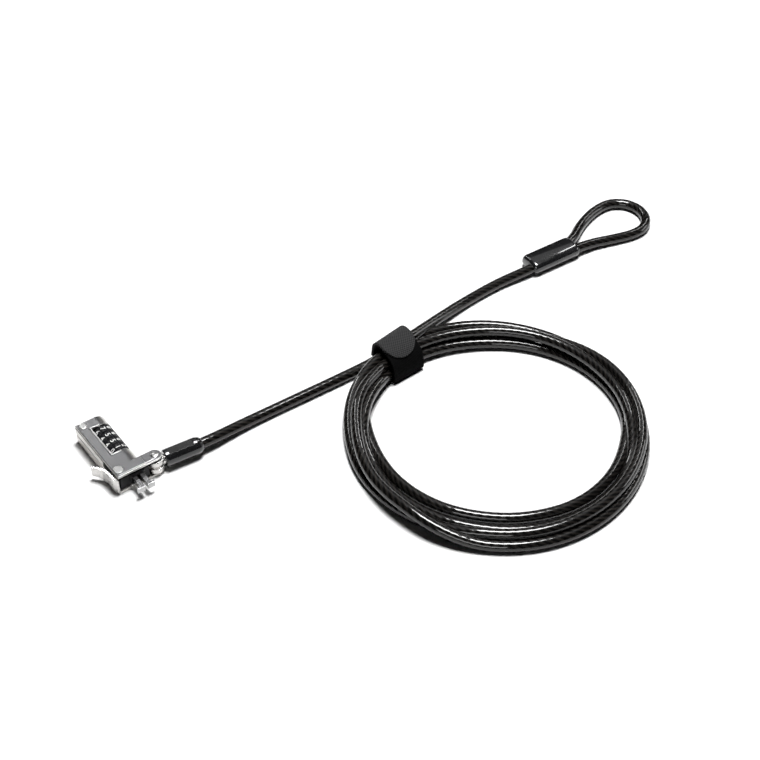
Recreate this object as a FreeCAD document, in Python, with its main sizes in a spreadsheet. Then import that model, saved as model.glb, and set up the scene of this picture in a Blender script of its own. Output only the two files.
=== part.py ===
"""Laptop cable lock: an L-shaped four-wheel combination head on a swivelling, coiled steel cable.

Lengths are in millimetres. The "lock frame" starts at the head's front left corner on the table:
+X runs along the short arm to the cable, +Y along the long arm, +Z up. Every piece is drawn there
and then moved by (-origin_x, -origin_y), which puts the origin under the middle of the lock.
"""
import FreeCAD, Part
import Sketcher
import math
import os
import re

Vector = FreeCAD.Vector
Rotation = FreeCAD.Rotation
Placement = FreeCAD.Placement

os.makedirs("parts", exist_ok=True)
doc = FreeCAD.newDocument("CableLock")

# ------------------------------------------------------------------ driving dimensions
SIZES = {
    # head
    "origin_x": 18.08,
    "origin_y": 15.35,
    "body_height": 10.0,
    "arm_length": 38.4,
    "tongue_width": 6.2,
    "tongue_radius": 3.1,
    "dial_x": 9.2,
    "dial_z": 5.0,
    "side_radius": 5.0,
    "side_bore": 3.8,
    "plate": 1.2,
    "wall": 1.2,
    "cover_plate": 0.9,
    "seal": 0.9,
    "tongue_step": 13.9,
    "tongue_drop": 0.2,
    "line_inset": 0.9,
    "recess_length": 13.6,
    "web_start": 13.0,
    "web_end": 17.0,
    "window_left": 5.0,
    "window_near": 13.9,
    "window_far": 32.4,
    "bezel_rise": 0.3,
    "bezel_width": 0.9,
    # pivot and swivel
    "pivot_x": 19.4,
    "pivot_y": 3.1,
    "swivel_angle": -5.0,
    "rivet_radius": 1.2,
    "rivet_head": 1.8,
    "running": 0.06,
    "spool_radius": 3.9,
    "spool_groove": 2.7,
    "spool_low": 1.6,
    "spool_high": 8.1,
    "neck_radius": 2.2,
    "spigot_radius": 1.5,
    "spigot_end": 9.6,
    "grip_start": 4.3,
    "grip_end": 22.1,
    "grip_radius": 4.0,
    "facet_rise": 3.5,
    # wheels and spindle
    "wheel_pitch": 4.5,
    "first_wheel": 16.4,
    "wheel_radius": 4.85,
    "wheel_width": 4.2,
    "wheel_bore": 2.75,
    "wheel_guide": 5.1,
    "clutch_radius": 2.7,
    "clutch_bore": 2.1,
    "clutch_length": 2.6,
    "key_width": 1.3,
    "key_reach": 2.4,
    "shaft_radius": 1.5,
    "collar_radius": 2.5,
    "bearing_floor": 3.2,
    "groove_radius": 1.0,
    "lug_width": 1.0,
    "lug_reach": 1.85,
    "lug_start": 1.45,
    # hooks, lever and reset
    "hook_low": 3.55,
    "hook_thick": 2.9,
    "hook_pivot_x": 2.0,
    "hook_pivot_y": 3.2,
    "hook_pin": 0.6,
    "hook_gap": 0.72,
    "nib_half": 2.7,
    "claw_half": 4.15,
    "nib_reach": 7.7,
    "lever_x": 2.46,
    "lever_y": 4.16,
    "lever_pin": 1.1,
    "lever_hub": 1.8,
    "plunger_x": 6.0,
    "plunger_z": 2.3,
    "plunger_radius": 0.75,
    "stem_radius": 0.45,
    # cable
    "cable_radius": 2.5,
    "coil_x": 151.3,
    "coil_y": -64.6,
    "coil_outer": 69.4,
    "coil_inner": 53.8,
    "coil_shift_x": 3.6,
    "coil_shift_y": 1.3,
    "coil_height": 10.2,
    # strap and loop sleeve
    "strap_angle": 8.0,
    "strap_x": 144.6,
    "strap_y": -3.4,
    "strap_width": 17.0,
    "strap_near": -9.5,
    "strap_far": 9.4,
    "strap_thick": 1.1,
    "strap_height": 11.7,
    "barrel_x": 249.5,
    "barrel_y": 12.6,
    "barrel_angle": -2.0,
    "barrel_half": 14.0,
    "barrel_radius": 3.6,
    "barrel_pitch": 5.2,
    "barrel_z": 3.7,
}
WHEELS = 4
COIL_EDGE = 2.4
STRAP_EDGE = 1.6

sheet = doc.addObject("Spreadsheet::Sheet", "Sizes")
for row, (alias, value) in enumerate(SIZES.items(), start=1):
    sheet.set("A%d" % row, alias.replace("_", " "))
    sheet.set("B%d" % row, str(value))
    sheet.setAlias("B%d" % row, alias)
doc.recompute()

NODES = []
WORD = re.compile(r"[a-z]\w*")


def rule(text):
    """An expression on the sheet's cells, from plain text such as "plate + seal"."""
    return WORD.sub(lambda word: "Sizes." + word.group(0), str(text))


def bind(thing, **rules):
    """Binds properties to rules; at_x, at_y and at_z stand for the placement's base."""
    for name, text in rules.items():
        thing.setExpression(name.replace("at_", "Placement.Base."), rule(text))
    return thing


# ------------------------------------------------------------------ frames and names
FRAMES = {
    "lock": (0.0, "0 - origin_x", "0 - origin_y"),
    "swivel": (SIZES["swivel_angle"], "pivot_x - origin_x", "pivot_y - origin_y"),
    "sleeve": (SIZES["barrel_angle"], "barrel_x - origin_x", "barrel_y - origin_y"),
    "strap": (SIZES["strap_angle"], "strap_x - origin_x", "strap_y - origin_y"),
}


def node(thing, name, frame="lock", at=("0", "0", "0"), turn=Rotation()):
    """Makes a finished piece of a frame a named sub-part in the part's own frame."""
    angle, x, y = FRAMES[frame]
    thing.Label = name
    thing.Placement = Placement(Vector(), Rotation(Vector(0, 0, 1), angle).multiply(turn))
    bind(thing, at_x="%s + %s" % (x, at[0]), at_y="%s + %s" % (y, at[1]), at_z=at[2])
    NODES.append(thing)
    return thing


# ------------------------------------------------------------------ primitives and booleans
TO_Y = Rotation(Vector(0, 0, 1), 90)
TO_Z = Rotation(Vector(0, 1, 0), -90)
ALONG = {
    "x": Rotation(Vector(0, 1, 0), 90),
    "y": Rotation(Vector(1, 0, 0), -90),
    "z": Rotation(),
}


def block(x, y, z):
    """A box between a low and a high rule along each axis."""
    box = doc.addObject("Part::Box", "Block")
    for side, (low, high) in {"Length": x, "Width": y, "Height": z}.items():
        bind(box, **{side: "(%s) - (%s)" % (high, low)})
    return bind(box, at_x=x[0], at_y=y[0], at_z=z[0])


def rod(axis, radius, span, first, second):
    """A cylinder along an axis over a span; first and second place it on the other two axes."""
    bar = doc.addObject("Part::Cylinder", "Rod")
    bar.Placement = Placement(Vector(), ALONG[axis])
    bind(bar, Radius=radius, Height="(%s) - (%s)" % (span[1], span[0]))
    others = [name for name in "xyz" if name != axis]
    return bind(bar, **{"at_" + axis: span[0], "at_" + others[0]: first, "at_" + others[1]: second})


def fuse(*shapes):
    joined = doc.addObject("Part::MultiFuse", "Fused")
    joined.Shapes = list(shapes)
    joined.Refine = True
    return joined


def cut(base, *tools):
    """The base less each tool in turn."""
    result = base
    for tool in tools:
        less = doc.addObject("Part::Cut", "Cut")
        less.Base = result
        less.Tool = tool
        result = less
    return result


def common(base, tool):
    result = doc.addObject("Part::Common", "Common")
    result.Base = base
    result.Tool = tool
    return result


def softened(kind, thing, amount, wanted):
    """Part::Fillet or Part::Chamfer on the edges for which wanted(edge) holds."""
    doc.recompute()
    dressed = doc.addObject(kind, "Dressed")
    dressed.Base = thing
    chosen = [number for number, edge in enumerate(thing.Shape.Edges, start=1) if wanted(edge)]
    dressed.Edges = [(number, amount, amount) for number in chosen]
    return dressed


# ------------------------------------------------------------------ sketched bodies
def outline(body, points):
    """A closed outline on the body's XY plane, each corner held by a pair of rules."""
    sketch = body.newObject("Sketcher::SketchObject", "Outline")
    plane = next(item for item in body.Origin.OriginFeatures if item.Role == "XY_Plane")
    sketch.AttachmentSupport = [(plane, "")]
    sketch.MapMode = "FlatFace"
    count = len(points)
    angles = [2 * math.pi * index / count for index in range(count)]
    start = [Vector(math.cos(angle), math.sin(angle), 0) for angle in angles]
    for index in range(count):
        sketch.addGeometry(Part.LineSegment(start[index], start[(index + 1) % count]))
    for index in range(count):
        sketch.addConstraint(Sketcher.Constraint("Coincident", index, 2, (index + 1) % count, 1))
    for index, pair in enumerate(points):
        for kind, text, value in zip(("DistanceX", "DistanceY"), pair, start[index]):
            place = sketch.addConstraint(Sketcher.Constraint(kind, index, 1, value))
            sketch.setExpression("Constraints[%d]" % place, rule(text))
    return sketch


def padded(points, length):
    """A flat piece: its plan outline, and how thick it is."""
    body = doc.addObject("PartDesign::Body", "Body")
    pad = body.newObject("PartDesign::Pad", "Pad")
    pad.Profile = outline(body, points)
    bind(pad, Length=length)
    return body


def turned(points):
    """A turned piece about the local X axis, from its (distance, radius) half outline."""
    body = doc.addObject("PartDesign::Body", "Body")
    sketch = outline(body, points)
    solid = body.newObject("PartDesign::Revolution", "Revolution")
    solid.Profile = sketch
    solid.ReferenceAxis = (sketch, ["H_Axis"])
    solid.Angle = 360
    return body


# ------------------------------------------------------------------ head: shells
HIGH = "body_height"
SEAM = "body_height - cover_plate - seal"
UNDER_COVER = "body_height - cover_plate"
TONGUE_TOP = "body_height - tongue_drop"


def plan(low, high, inset="0"):
    """The head's L-shaped plan as a slab, without the rounded side."""
    arm = block((inset, "dial_x"), (inset, "arm_length - " + inset), (low, high))
    tongue = block((inset, "pivot_x"), (inset, "tongue_width - " + inset), (low, high))
    tip = rod("z", "tongue_radius - " + inset, (low, high), "pivot_x", "pivot_y")
    return [arm, tongue, tip]


def window(low, high, margin="0"):
    """The opening over the wheels, out through the rounded side."""
    across = ("window_left - " + margin, "dial_x + side_radius + 1")
    return block(across, ("window_near - " + margin, "window_far + " + margin), (low, high))


def side(low, high):
    """The rounded side of the long arm between two heights, hollow, closed at its far end."""
    round_bar = rod("y", "side_radius", ("tongue_width", "arm_length"), "dial_x", "dial_z")
    across = ("dial_x", "dial_x + side_radius + 1")
    half = common(round_bar, block(across, ("0", "arm_length + 1"), (low, high)))
    hollow = rod("y", "side_bore", ("0", "arm_length - wall"), "dial_x", "dial_z")
    return cut(half, hollow)


def pivot_hole(radius):
    return rod("z", radius, ("0 - 1", "body_height + 1"), "pivot_x", "pivot_y")


def lever_hole(radius):
    return rod("z", radius, ("0 - 1", "body_height + 1"), "lever_x", "lever_y")


COVER_SCREW = ("2.6", "36.0")
BOTTOM_SCREWS = (("4.2", "34.8"), ("3.0", "12.9"), ("13.9", "3.4"))
SCREW_SHANK = "0.7"
SCREW_HEAD = "1.4"


def screw_holes(low, high):
    return [rod("z", SCREW_SHANK, (low, high), x, y) for x, y in BOTTOM_SCREWS]


def top_cover():
    top = [*plan(UNDER_COVER, HIGH), side("dial_z", HIGH)]
    holes = [pivot_hole("rivet_radius"), lever_hole("lever_pin"), window("0", "body_height + 1")]
    holes.append(rod("z", "0.9", ("0", "body_height + 1"), *COVER_SCREW))
    whole = cut(fuse(*top), *holes)

    def rim(edge):
        box = edge.BoundBox
        on_top = box.ZMin > SIZES["body_height"] - 0.01
        outer = box.XMin < 0.01 or box.YMin < 0.01 or box.XMax > SIZES["pivot_x"] + 0.1
        return on_top and outer

    edged = softened("Part::Chamfer", whole, 0.35, rim)
    lowered = block(("tongue_step", "pivot_x + 4"), ("0 - 1", "tongue_width + 1"),
                    (TONGUE_TOP, "body_height + 1"))
    line = block(("line_inset", "pivot_x"), ("line_inset", "line_inset + 0.3"),
                 (TONGUE_TOP + " - 0.15", "body_height + 1"))
    node(cut(edged, lowered, line), "top_cover")


def bottom_shell():
    tray = [*plan("0", "plate"), side("0", "dial_z")]
    tray.append(block(("0", "wall"), ("0", "arm_length"), ("0", SEAM)))
    tray.append(block(("0", "dial_x"), ("arm_length - wall", "arm_length"), ("0", SEAM)))
    tray.append(block(("web_start", "web_end"), ("2.3", "tongue_width"), ("0", SEAM)))
    back = block(("dial_x", "web_end"), ("tongue_width - wall", "tongue_width"), ("0", SEAM))
    tray.append(cut(back, rod("y", "side_bore", ("0", "arm_length"), "dial_x", "dial_z")))
    holes = [pivot_hole("rivet_radius"), lever_hole("lever_pin"), window("0 - 1", "dial_z + 1")]
    holes.append(rod("z", "rivet_head + 0.05", ("0 - 1", "0.65"), "pivot_x", "pivot_y"))
    holes.append(rod("z", "spool_radius + 0.3", ("plate", "body_height"), "pivot_x", "pivot_y"))
    holes.append(block(("0 - 1", "wall"), ("0 - 1", "recess_length"), ("plate", "body_height")))
    holes.append(block(("0 - 1", "0.35"), ("recess_length", "arm_length + 1"), ("4.3", "5.0")))
    holes += screw_holes("0 - 1", "body_height")
    holes += [rod("z", SCREW_HEAD, ("0 - 1", "0.75"), x, y) for x, y in BOTTOM_SCREWS]
    whole = cut(fuse(*tray), *holes)

    def foot(edge):
        box = edge.BoundBox
        on_floor = box.ZMax < 0.01
        return on_floor and (box.XMin < 0.01 or box.YMin < 0.01 or box.XMax > SIZES["pivot_x"] + 2)

    node(softened("Part::Chamfer", whole, 0.3, foot), "bottom_shell")


def seal_plate():
    holes = [pivot_hole("rivet_radius"), lever_hole("lever_pin"), window("0", "body_height + 1")]
    holes.append(rod("z", "0.9", ("0", "body_height + 1"), *COVER_SCREW))
    node(cut(fuse(*plan(SEAM, UNDER_COVER)), *holes), "seal_plate")


def dial_bezel():
    """A raised bevelled frame on the cover, along three sides of the window."""
    top = "body_height + bezel_rise"
    outer = block(("window_left - bezel_width", "dial_x"), ("window_near - bezel_width",
                  "window_far + bezel_width"), (HIGH, top))
    inner = block(("window_left", "dial_x + 1"), ("window_near", "window_far"), ("9", "11"))
    node(softened("Part::Chamfer", cut(outer, inner), 0.2, lambda edge: edge.BoundBox.ZMin > 10.2),
         "dial_bezel")


# ------------------------------------------------------------------ head: inner structure
NIB_SLOT = ("hook_low - 0.15", "hook_low + hook_thick + 0.15")


def nib_slot():
    across = ("dial_x - nib_half - 0.35", "dial_x + nib_half + 0.35")
    return block(across, ("0 - 1", "2.4"), NIB_SLOT)


def plunger_hole(radius, span):
    return rod("y", radius, span, "plunger_x", "plunger_z")


def front_insert():
    face = block(("wall + 0.05", "web_start + 2"), ("0.8", "2.2"), ("plate", SEAM))
    node(cut(face, nib_slot(), plunger_hole("plunger_radius + running", ("0", "3"))), "front_insert")


def nib_collar():
    ring = block(("dial_x - 3.5", "dial_x + 3.5"), ("0 - 0.1", "0.8"), ("3.1", "7.9"))
    soft = softened("Part::Fillet", ring, 0.4, lambda edge: edge.BoundBox.YMax < 0)
    node(cut(soft, nib_slot()), "nib_collar")


def core_plate():
    """Carries the hook pins and the plunger, under the hooks; the spindle's collar runs in its channel."""
    front = block(("4.6", "web_start - 0.1"), ("2.3", "4.9"), ("plate", "hook_low - 0.1"))
    rear = block(("4.6", "dial_x + 0.8"), ("4.9", "11.9"), ("1.35", "hook_low - 0.1"))
    seat = block(("4.6", "dial_x + 0.8"), ("11.9", "13.4"), ("1.35", "bearing_floor"))
    tools = [rod("z", "hook_pin", ("0", "9"), "dial_x + " + sign + "hook_pivot_x", "hook_pivot_y")
             for sign in ("", "0 - ")]
    tools.append(plunger_hole("plunger_radius + 0.1", ("2", "7.6")))
    tools.append(plunger_hole("0.5", ("7", "10.5")))
    tools.append(rod("y", "collar_radius + 0.2", ("7.6", "14"), "dial_x", "dial_z"))
    node(cut(fuse(front, rear, seat), *tools), "core_plate")


def bearing(low, high, floor):
    """A block round the spindle, shaped to the inside of the rounded side."""
    solid = fuse(block(("5.6", "dial_x"), (low, high), (floor, SEAM + " - 0.1")),
                 rod("y", "side_bore - 0.1", (low, high), "dial_x", "dial_z"))
    kept = common(solid, block(("5.6", "14"), (low, high), (floor, SEAM + " - 0.1")))
    return cut(kept, rod("y", "clutch_bore", ("0", "arm_length"), "dial_x", "dial_z"))


def dial_frame():
    """Black guide beside the wheels, with a slot for each detent finger."""
    guide = block(("2.7", "7.5"), ("window_near + 0.05", "window_far - 0.05"), ("plate + 0.1", SEAM))
    tools = [rod("y", "wheel_guide", ("10", "35"), "dial_x", "dial_z")]
    for index in range(WHEELS):
        middle = "first_wheel + wheel_pitch * %d" % index
        tools.append(block(("2", "5"), (middle + " - 0.6", middle + " + 0.6"), ("4.4", "5.6")))
    node(cut(guide, *tools), "dial_frame")


def detent_spring():
    leaf = [block(("1.5", "1.8"), ("15.6", "31.4"), ("2", "7.6"))]
    for index in range(WHEELS):
        middle = "first_wheel + wheel_pitch * %d" % index
        leaf.append(block(("1.8", "4.15"), (middle + " - 0.4", middle + " + 0.4"), ("4.6", "5.4")))
    node(fuse(*leaf), "detent_spring")


def fasteners():
    pins = [rod("z", "hook_pin", ("plate + 0.1", "7.2"), "dial_x + " + sign + "hook_pivot_x", "hook_pivot_y")
            for sign in ("", "0 - ")]
    node(fuse(*pins), "hook_pins")

    head = [("0.3", "0"), ("0.3", "lever_pin"), (HIGH, "lever_pin"), (HIGH, "lever_pin + 1.1"),
            ("body_height + 0.15", "lever_pin + 1.1"), ("body_height + 0.3", "lever_pin + 0.9"),
            ("body_height + 0.3", "0")]
    node(turned(head), "lever_pin", at=("lever_x", "lever_y", "0"), turn=TO_Z)

    screw = [("plate + 0.1", "0"), ("plate + 0.1", "0.9"), (HIGH, "0.9"), (HIGH, "1.9"),
             ("body_height + 0.15", "1.9"), ("body_height + 0.3", "1.6"), ("body_height + 0.3", "0")]
    node(turned(screw), "cover_screw", at=(*COVER_SCREW, "0"), turn=TO_Z)

    rivet = [("0.1", "0"), ("0.1", "rivet_head"), ("0.6", "rivet_head"), ("0.6", "rivet_radius"),
             (TONGUE_TOP, "rivet_radius"), (TONGUE_TOP, "rivet_head"),
             ("body_height + 0.1", "rivet_head - 0.15"), ("body_height + 0.35", "rivet_head - 0.7"),
             ("body_height + 0.45", "0")]
    node(turned(rivet), "pivot_rivet", at=("pivot_x", "pivot_y", "0"), turn=TO_Z)

    washer = rod("z", "3.0", ("plate", "spool_low - 0.1"), "pivot_x", "pivot_y")
    node(cut(washer, pivot_hole("rivet_radius")), "pivot_washer")

    screws = [fuse(rod("z", "0.7", ("0.1", SEAM + " - 0.3"), x, y), rod("z", "1.35", ("0.1", "0.7"), x, y))
              for x, y in BOTTOM_SCREWS]
    node(fuse(*screws), "bottom_screws")


# ------------------------------------------------------------------ wheels and spindle
def dial_wheel(index):
    """A number wheel: ten shallow grooves between the numbers, patterned round its axis."""
    edge = "wheel_radius"
    body = turned([("0", "wheel_bore"), ("0", edge + " - 0.3"), ("0.3", edge), ("wheel_width - 0.3", edge),
                   ("wheel_width", edge + " - 0.3"), ("wheel_width", "wheel_bore")])
    sketch = body.newObject("Sketcher::SketchObject", "Groove")
    plane = next(item for item in body.Origin.OriginFeatures if item.Role == "YZ_Plane")
    sketch.AttachmentSupport = [(plane, "")]
    sketch.MapMode = "FlatFace"
    tilt = math.radians(18)
    reach = SIZES["wheel_radius"] + 0.45
    middle = Vector(reach * math.sin(tilt), reach * math.cos(tilt), 0)
    sketch.addGeometry(Part.Circle(middle, Vector(0, 0, 1), 0.7))
    notch = body.newObject("PartDesign::Pocket", "Notch")
    notch.Profile = sketch
    notch.Type = "ThroughAll"
    notch.Reversed = True
    ring = body.newObject("PartDesign::PolarPattern", "Notches")
    ring.Originals = [notch]
    ring.Axis = (sketch, ["N_Axis"])
    ring.Angle = 360
    ring.Occurrences = 10
    body.Tip = ring
    start = "first_wheel + wheel_pitch * %d - wheel_width / 2" % index
    node(body, "dial_wheel_%d" % (index + 1), at=("dial_x", start, "dial_z"), turn=TO_Y)


def clutch_sleeve(index):
    """The ring inside a wheel, with a key slot at the number that opens the lock."""
    middle = "first_wheel + wheel_pitch * %d" % index
    span = (middle + " - clutch_length / 2", middle + " + clutch_length / 2")
    ring = rod("y", "clutch_radius", span, "dial_x", "dial_z")
    bore = rod("y", "clutch_bore", ("10", "35"), "dial_x", "dial_z")
    across = ("dial_x - key_width / 2", "dial_x + key_width / 2")
    key = block(across, ("10", "35"), ("dial_z", "dial_z + key_reach"))
    node(cut(ring, bore, key), "clutch_sleeve_%d" % (index + 1))


def spindle():
    """Nose cone, collar, shaft, clip groove, and one lug per wheel, short of the sleeves' bores."""
    shaft = turned([("7.0", "0"), ("7.0", "0.55"), ("9.8", "1.03"), ("9.8", "collar_radius"),
                    ("10.6", "collar_radius"), ("10.6", "shaft_radius"), ("36.3", "shaft_radius"),
                    ("36.3", "groove_radius"), ("36.8", "groove_radius"), ("36.8", "shaft_radius"),
                    ("37.0", "shaft_radius"), ("37.0", "0")])
    shaft.Placement = Placement(Vector(), TO_Y)
    bind(shaft, at_x="dial_x", at_z="dial_z")
    across = ("dial_x - lug_width / 2", "dial_x + lug_width / 2")
    lugs = []
    for index in range(WHEELS):
        start = "first_wheel + wheel_pitch * %d + lug_start" % index
        lugs.append(block(across, (start, start + " + 1"), ("dial_z", "dial_z + lug_reach")))
    node(fuse(shaft, *lugs), "spindle")
    clip = rod("y", "2.3", ("36.35", "36.75"), "dial_x", "dial_z")
    node(cut(clip, rod("y", "groove_radius", ("36", "37"), "dial_x", "dial_z")), "spindle_clip")


def coil_spring(name, radius, wire, count, x, start, z):
    """A close-wound compression spring along Y, drawn as one ring for each coil."""
    pitch = 1.9 * wire
    rings = []
    for index in range(count):
        ring = doc.addObject("Part::Torus", "Ring")
        ring.Radius1 = radius
        ring.Radius2 = wire
        ring.Placement = Placement(Vector(), ALONG["y"])
        rings.append(bind(ring, at_x=x, at_y=start + wire + index * pitch, at_z=z))
    node(fuse(*rings), name)


# ------------------------------------------------------------------ hooks, lever, reset
def hook(name, sign):
    """One half of the nib: claw, shank, pivot and tail. sign is -1 for the left, +1 for the right."""
    half = [("hook_gap", "0 - nib_reach"), ("claw_half - 0.35", "0 - nib_reach"),
            ("claw_half", "0.35 - nib_reach"), ("claw_half", "1.2 - nib_reach"),
            ("nib_half", "1.2 - nib_reach"), ("nib_half", "2.5"), ("hook_pivot_x + 1.2", "2.9"),
            ("hook_pivot_x + 1.2", "4.4"), ("hook_pivot_x", "5.4"), ("hook_pivot_x", "7.3"),
            ("hook_pivot_x - 0.4", "7.7"), ("hook_gap + 0.05", "7.7")]
    points = [("dial_x + (%s) * (%d)" % (x, sign), y) for x, y in half]
    body = padded(points, "hook_thick")
    at = "dial_x + hook_pivot_x * (%d)" % sign
    bore = rod("z", "hook_pin + running", ("0 - 1", "9"), at, "hook_pivot_y")
    shape = cut(body, bore)
    soft = softened("Part::Fillet", shape, 0.3, lambda edge: edge.BoundBox.YMax < 1.1 - SIZES["nib_reach"]
                    and edge.BoundBox.ZLength < 0.01 and edge.BoundBox.DiagonalLength > 0.6)
    node(soft, name, at=("0", "0", "hook_low"))


def lever():
    """A curved thumb paddle on a hub, with a crank whose finger pushes the spindle's collar."""
    paddle = padded([("0 - 0.15", "0 - 0.45"), ("0 - 0.9", "0.4"), ("0 - 1.45", "2.2"), ("0 - 1.65", "4.6"),
                     ("0 - 1.85", "7.2"), ("0 - 2.4", "9.6"), ("0 - 3.6", "11.9"), ("0 - 5.5", "14.2"),
                     ("0 - 5.3", "14.9"), ("0 - 4.5", "14.9"), ("0 - 2.9", "13.0"), ("0 - 1.5", "11.0"),
                     ("0 - 0.8", "8.6"), ("0 - 0.45", "6.0"), ("0 - 0.15", "4.0")], "8.5")
    bind(paddle, at_z="0.1")
    profile = padded([("0 - 1", "0"), ("2.6", "0"), ("5", "1.5"), ("16", "2.8"), ("16", "7.1"), ("5", "8.0"),
                      ("2.6", "8.1"), ("0 - 1", "8.1")], "8")
    profile.Placement = Placement(Vector(-7, 0, 0), Rotation(Vector(1, 1, 1), 120))
    blade = common(paddle, profile)
    neck = block(("0 - 0.4", "lever_x"), ("3.3", "5.0"), ("2.0", SEAM + " - 0.1"))
    hub = rod("z", "lever_hub", ("plate + 0.1", SEAM + " - 0.1"), "lever_x", "lever_y")
    crank = padded([("2.2", "2.8"), ("4.2", "3.4"), ("9.0", "10.5"), ("9.6", "10.85"), ("9.6", "11.75"),
                    ("8.5", "11.75"), ("2.2", "6.0")], "0.5")
    bind(crank, at_z="7.6")
    finger = block(("8.5", "9.6"), ("10.85", "11.75"), ("6.65", "7.8"))
    bore = lever_hole("lever_pin + running")
    node(cut(fuse(blade, neck, hub, crank, finger), bore), "lever")


def reset():
    """A small plunger in the front face that frees the wheels for a new number."""
    stem = turned([("0 - 1.0", "0"), ("0 - 1.0", "plunger_radius - 0.15"), ("0 - 0.85", "plunger_radius"),
                   ("1.2", "plunger_radius"), ("1.2", "stem_radius"), ("4.4", "stem_radius"),
                   ("4.4", "plunger_radius"), ("5.2", "plunger_radius"), ("5.2", "0.35"), ("5.7", "0.35"),
                   ("5.7", "0")])
    node(stem, "reset_plunger", at=("plunger_x", "0", "plunger_z"), turn=TO_Y)
    coil_spring("reset_spring", 0.62, 0.12, 8, "plunger_x", 5.35, "plunger_z")


# ------------------------------------------------------------------ swivel and cable grip
def swivel_eye():
    """A flanged spool on the rivet, with the spigot that the cable grip turns on."""
    spool = turned([("spool_low", "0"), ("spool_low", "spool_radius - 0.3"),
                    ("spool_low + 0.3", "spool_radius"), ("4.0", "spool_radius"), ("4.5", "spool_groove"),
                    ("5.3", "spool_groove"), ("5.8", "spool_radius"), ("spool_high - 0.3", "spool_radius"),
                    ("spool_high", "spool_radius - 0.3"), ("spool_high", "0")])
    spool.Placement = Placement(Vector(), TO_Z)
    neck = rod("x", "neck_radius", ("2.5", "grip_start - 0.1"), "0", "dial_z")
    spigot = rod("x", "spigot_radius", ("3", "spigot_end"), "0", "dial_z")
    bore = rod("z", "rivet_radius + running", ("0", "body_height"), "0", "0")
    node(cut(fuse(spool, neck, spigot), bore), "swivel_eye", "swivel")
    retainer = turned([("spigot_end", "0"), ("spigot_end", "2.1"), ("spigot_end + 0.8", "2.1"),
                       ("spigot_end + 0.8", "0")])
    node(retainer, "swivel_retainer", "swivel", at=("0", "0", "dial_z"))


def cable_grip():
    """The barrel on the cable's end: bore for the spigot, chamber for its head, seat for the ferrule."""
    grip = turned([("grip_start", "spigot_radius + running"), ("grip_start", "grip_radius - 0.5"),
                   ("grip_start + 0.5", "grip_radius"), ("19.6", "grip_radius"),
                   ("20.9", "grip_radius - 0.35"), ("21.8", "grip_radius - 0.9"),
                   ("grip_end", "grip_radius - 1.2"), ("grip_end", "cable_radius"), ("17.4", "cable_radius"),
                   ("17.4", "2.95"), ("12.2", "2.95"), ("12.2", "2.3"), ("9.4", "2.3"),
                   ("9.4", "spigot_radius + running")])
    grip.Placement = Placement()
    bind(grip, at_z="dial_z")
    facet = block(("6.2", "18.2"), ("0 - 4", "4"), ("dial_z + facet_rise", "dial_z + 5"))
    node(cut(grip, facet), "cable_grip", "swivel")
    ferrule = turned([("12.25", "cable_radius"), ("12.25", "2.9"), ("17.35", "2.9"),
                      ("17.35", "cable_radius")])
    node(ferrule, "cable_ferrule", "swivel", at=("0", "0", "dial_z"))


# ------------------------------------------------------------------ cable
def to_vectors(points):
    return [Vector(*point) for point in points]


LEAD_LOCK = [(31.55, 2.04, 5.0), (44.5, 0.95, 4.95), (59.0, 2.4, 3.3), (75.0, 2.8, 2.5), (104.5, 2.1, 2.5),
             (133.5, 1.75, 2.5)]
LEAD_LOOP = [(152.5, 1.2, 7.5), (163.0, 4.0, 6.0), (176.5, 7.8, 3.7), (194.0, 10.9, 2.5), (214.0, 12.4, 2.5),
             (229.0, 11.3, 3.1), (240.5, 10.31, 3.7), (251.91, 9.91, 3.7)]
LOOP = [(251.91, 9.91, 3.7), (262.4, 9.55, 3.7), (273.0, 8.9, 2.9), (283.2, 5.9, 2.5), (293.8, 2.7, 2.5),
        (302.2, 2.7, 2.5), (309.1, 7.7, 2.5), (311.7, 15.7, 2.5), (309.1, 23.7, 2.5), (302.2, 28.7, 2.5),
        (293.8, 28.7, 2.5), (284.8, 26.3, 2.5), (276.0, 22.3, 2.6), (268.6, 17.4, 3.2), (261.0, 14.8, 3.7),
        (254.0, 15.05, 3.7)]
ARC_SHARE = 0.45


def cable_tube(name, route):
    """A length of cable: straight runs between the route's points, joined by tangent arcs."""
    points = to_vectors(route)
    start = points[0]
    edges = []
    length = 0.0
    radii = []
    for before, corner, after in zip(points, points[1:], points[2:]):
        arriving = corner - before
        leaving = after - corner
        reach = ARC_SHARE * min(arriving.Length, leaving.Length)
        half_turn = arriving.getAngle(leaving) / 2
        radii.append(round(reach / math.tan(half_turn), 1))
        arriving.normalize()
        leaving.normalize()
        inward = (leaving - arriving).normalize()
        sagitta = reach * math.tan(half_turn / 2)
        first = corner - arriving * reach
        middle = corner + inward * sagitta
        last = corner + leaving * reach
        edges.append(Part.LineSegment(start, first).toShape())
        edges.append(Part.Arc(first, middle, last).toShape())
        start = last
    edges.append(Part.LineSegment(start, points[-1]).toShape())
    path = Part.Wire(edges)
    direction = (points[1] - points[0]).normalize()
    section = Part.Wire(Part.Circle(points[0], direction, SIZES["cable_radius"]).toShape())
    solid = path.makePipeShell([section], True, False)
    expected = math.pi * SIZES["cable_radius"] ** 2 * path.Length
    print("%s: %.1f mm, radii %s, volume %.4f of section x length"
          % (name, path.Length, radii, solid.Volume / expected))
    tube = doc.addObject("Part::Feature", "Tube")
    tube.Shape = solid
    node(tube, name)
    return path.Length


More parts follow.
